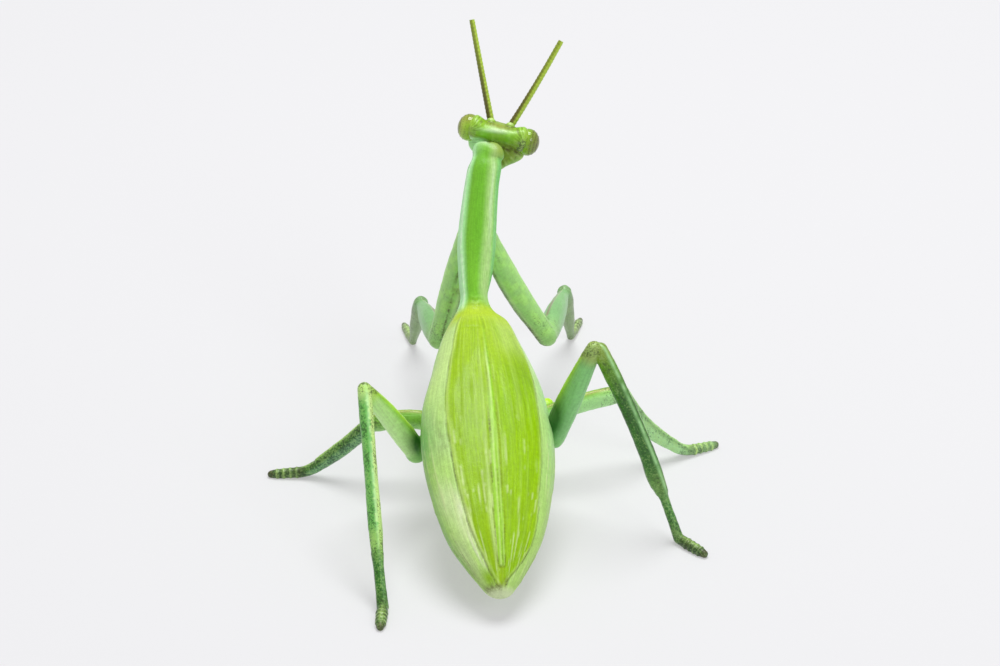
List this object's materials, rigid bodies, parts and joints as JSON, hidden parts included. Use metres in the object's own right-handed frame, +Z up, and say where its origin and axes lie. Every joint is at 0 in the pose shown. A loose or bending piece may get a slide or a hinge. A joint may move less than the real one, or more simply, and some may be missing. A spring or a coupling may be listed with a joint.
{
  "type": "praying mantis figurine",
  "caption": "Moulded and painted praying mantis figure that stands on its feet with its front raised and its head turned to one side; for display or play.",
  "frame": {"origin": "middle of the footprint, on the floor", "axes": "+Z up; the figure looks along -Y, so +Y runs towards its tail; +X is its left side"},
  "size_m": [0.1336, 0.1636, 0.1167],
  "materials": {
    "wing_lime": "satin lime paint over moulded vinyl, with a dark wash in the vein grooves and pale dry-brushed streaks",
    "flank_pale_green": "satin pale grey-green paint with whitish lengthwise streaks",
    "body_green": "satin mid-green paint with pale mint sides and a dark wash at the collar",
    "leg_green": "satin green paint with a speckled dark wash and pale mint edges",
    "eye_olive": "gloss olive paint with fine dotted rings",
    "feeler_olive": "satin olive paint, brown near the root"
  },
  "bodies": {
    "root": {"abdomen": "flank_pale_green", "thorax": "flank_pale_green", "wing_left": "wing_lime", "wing_right": "wing_lime", "prothorax": "body_green", "head": "body_green", "mouthparts": "body_green", "neck": "body_green", "eye_left": "eye_olive", "eye_right": "eye_olive", "antenna_left": "feeler_olive", "antenna_right": "feeler_olive", "fore_left_coxa": "leg_green", "fore_left_femur": "leg_green", "fore_left_tibia": "leg_green", "fore_left_tarsus": "leg_green", "fore_right_coxa": "leg_green", "fore_right_femur": "leg_green", "fore_right_tibia": "leg_green", "fore_right_tarsus": "leg_green", "mid_left_coxa": "leg_green", "mid_left_femur": "leg_green", "mid_left_tibia": "leg_green", "mid_left_tarsus": "leg_green", "mid_right_coxa": "leg_green", "mid_right_femur": "leg_green", "mid_right_tibia": "leg_green", "mid_right_tarsus": "leg_green", "hind_left_coxa": "leg_green", "hind_left_femur": "leg_green", "hind_left_tibia": "leg_green", "hind_left_tarsus": "leg_green", "hind_right_coxa": "leg_green", "hind_right_femur": "leg_green", "hind_right_tibia": "leg_green", "hind_right_tarsus": "leg_green"}
  },
  "joints": []
}
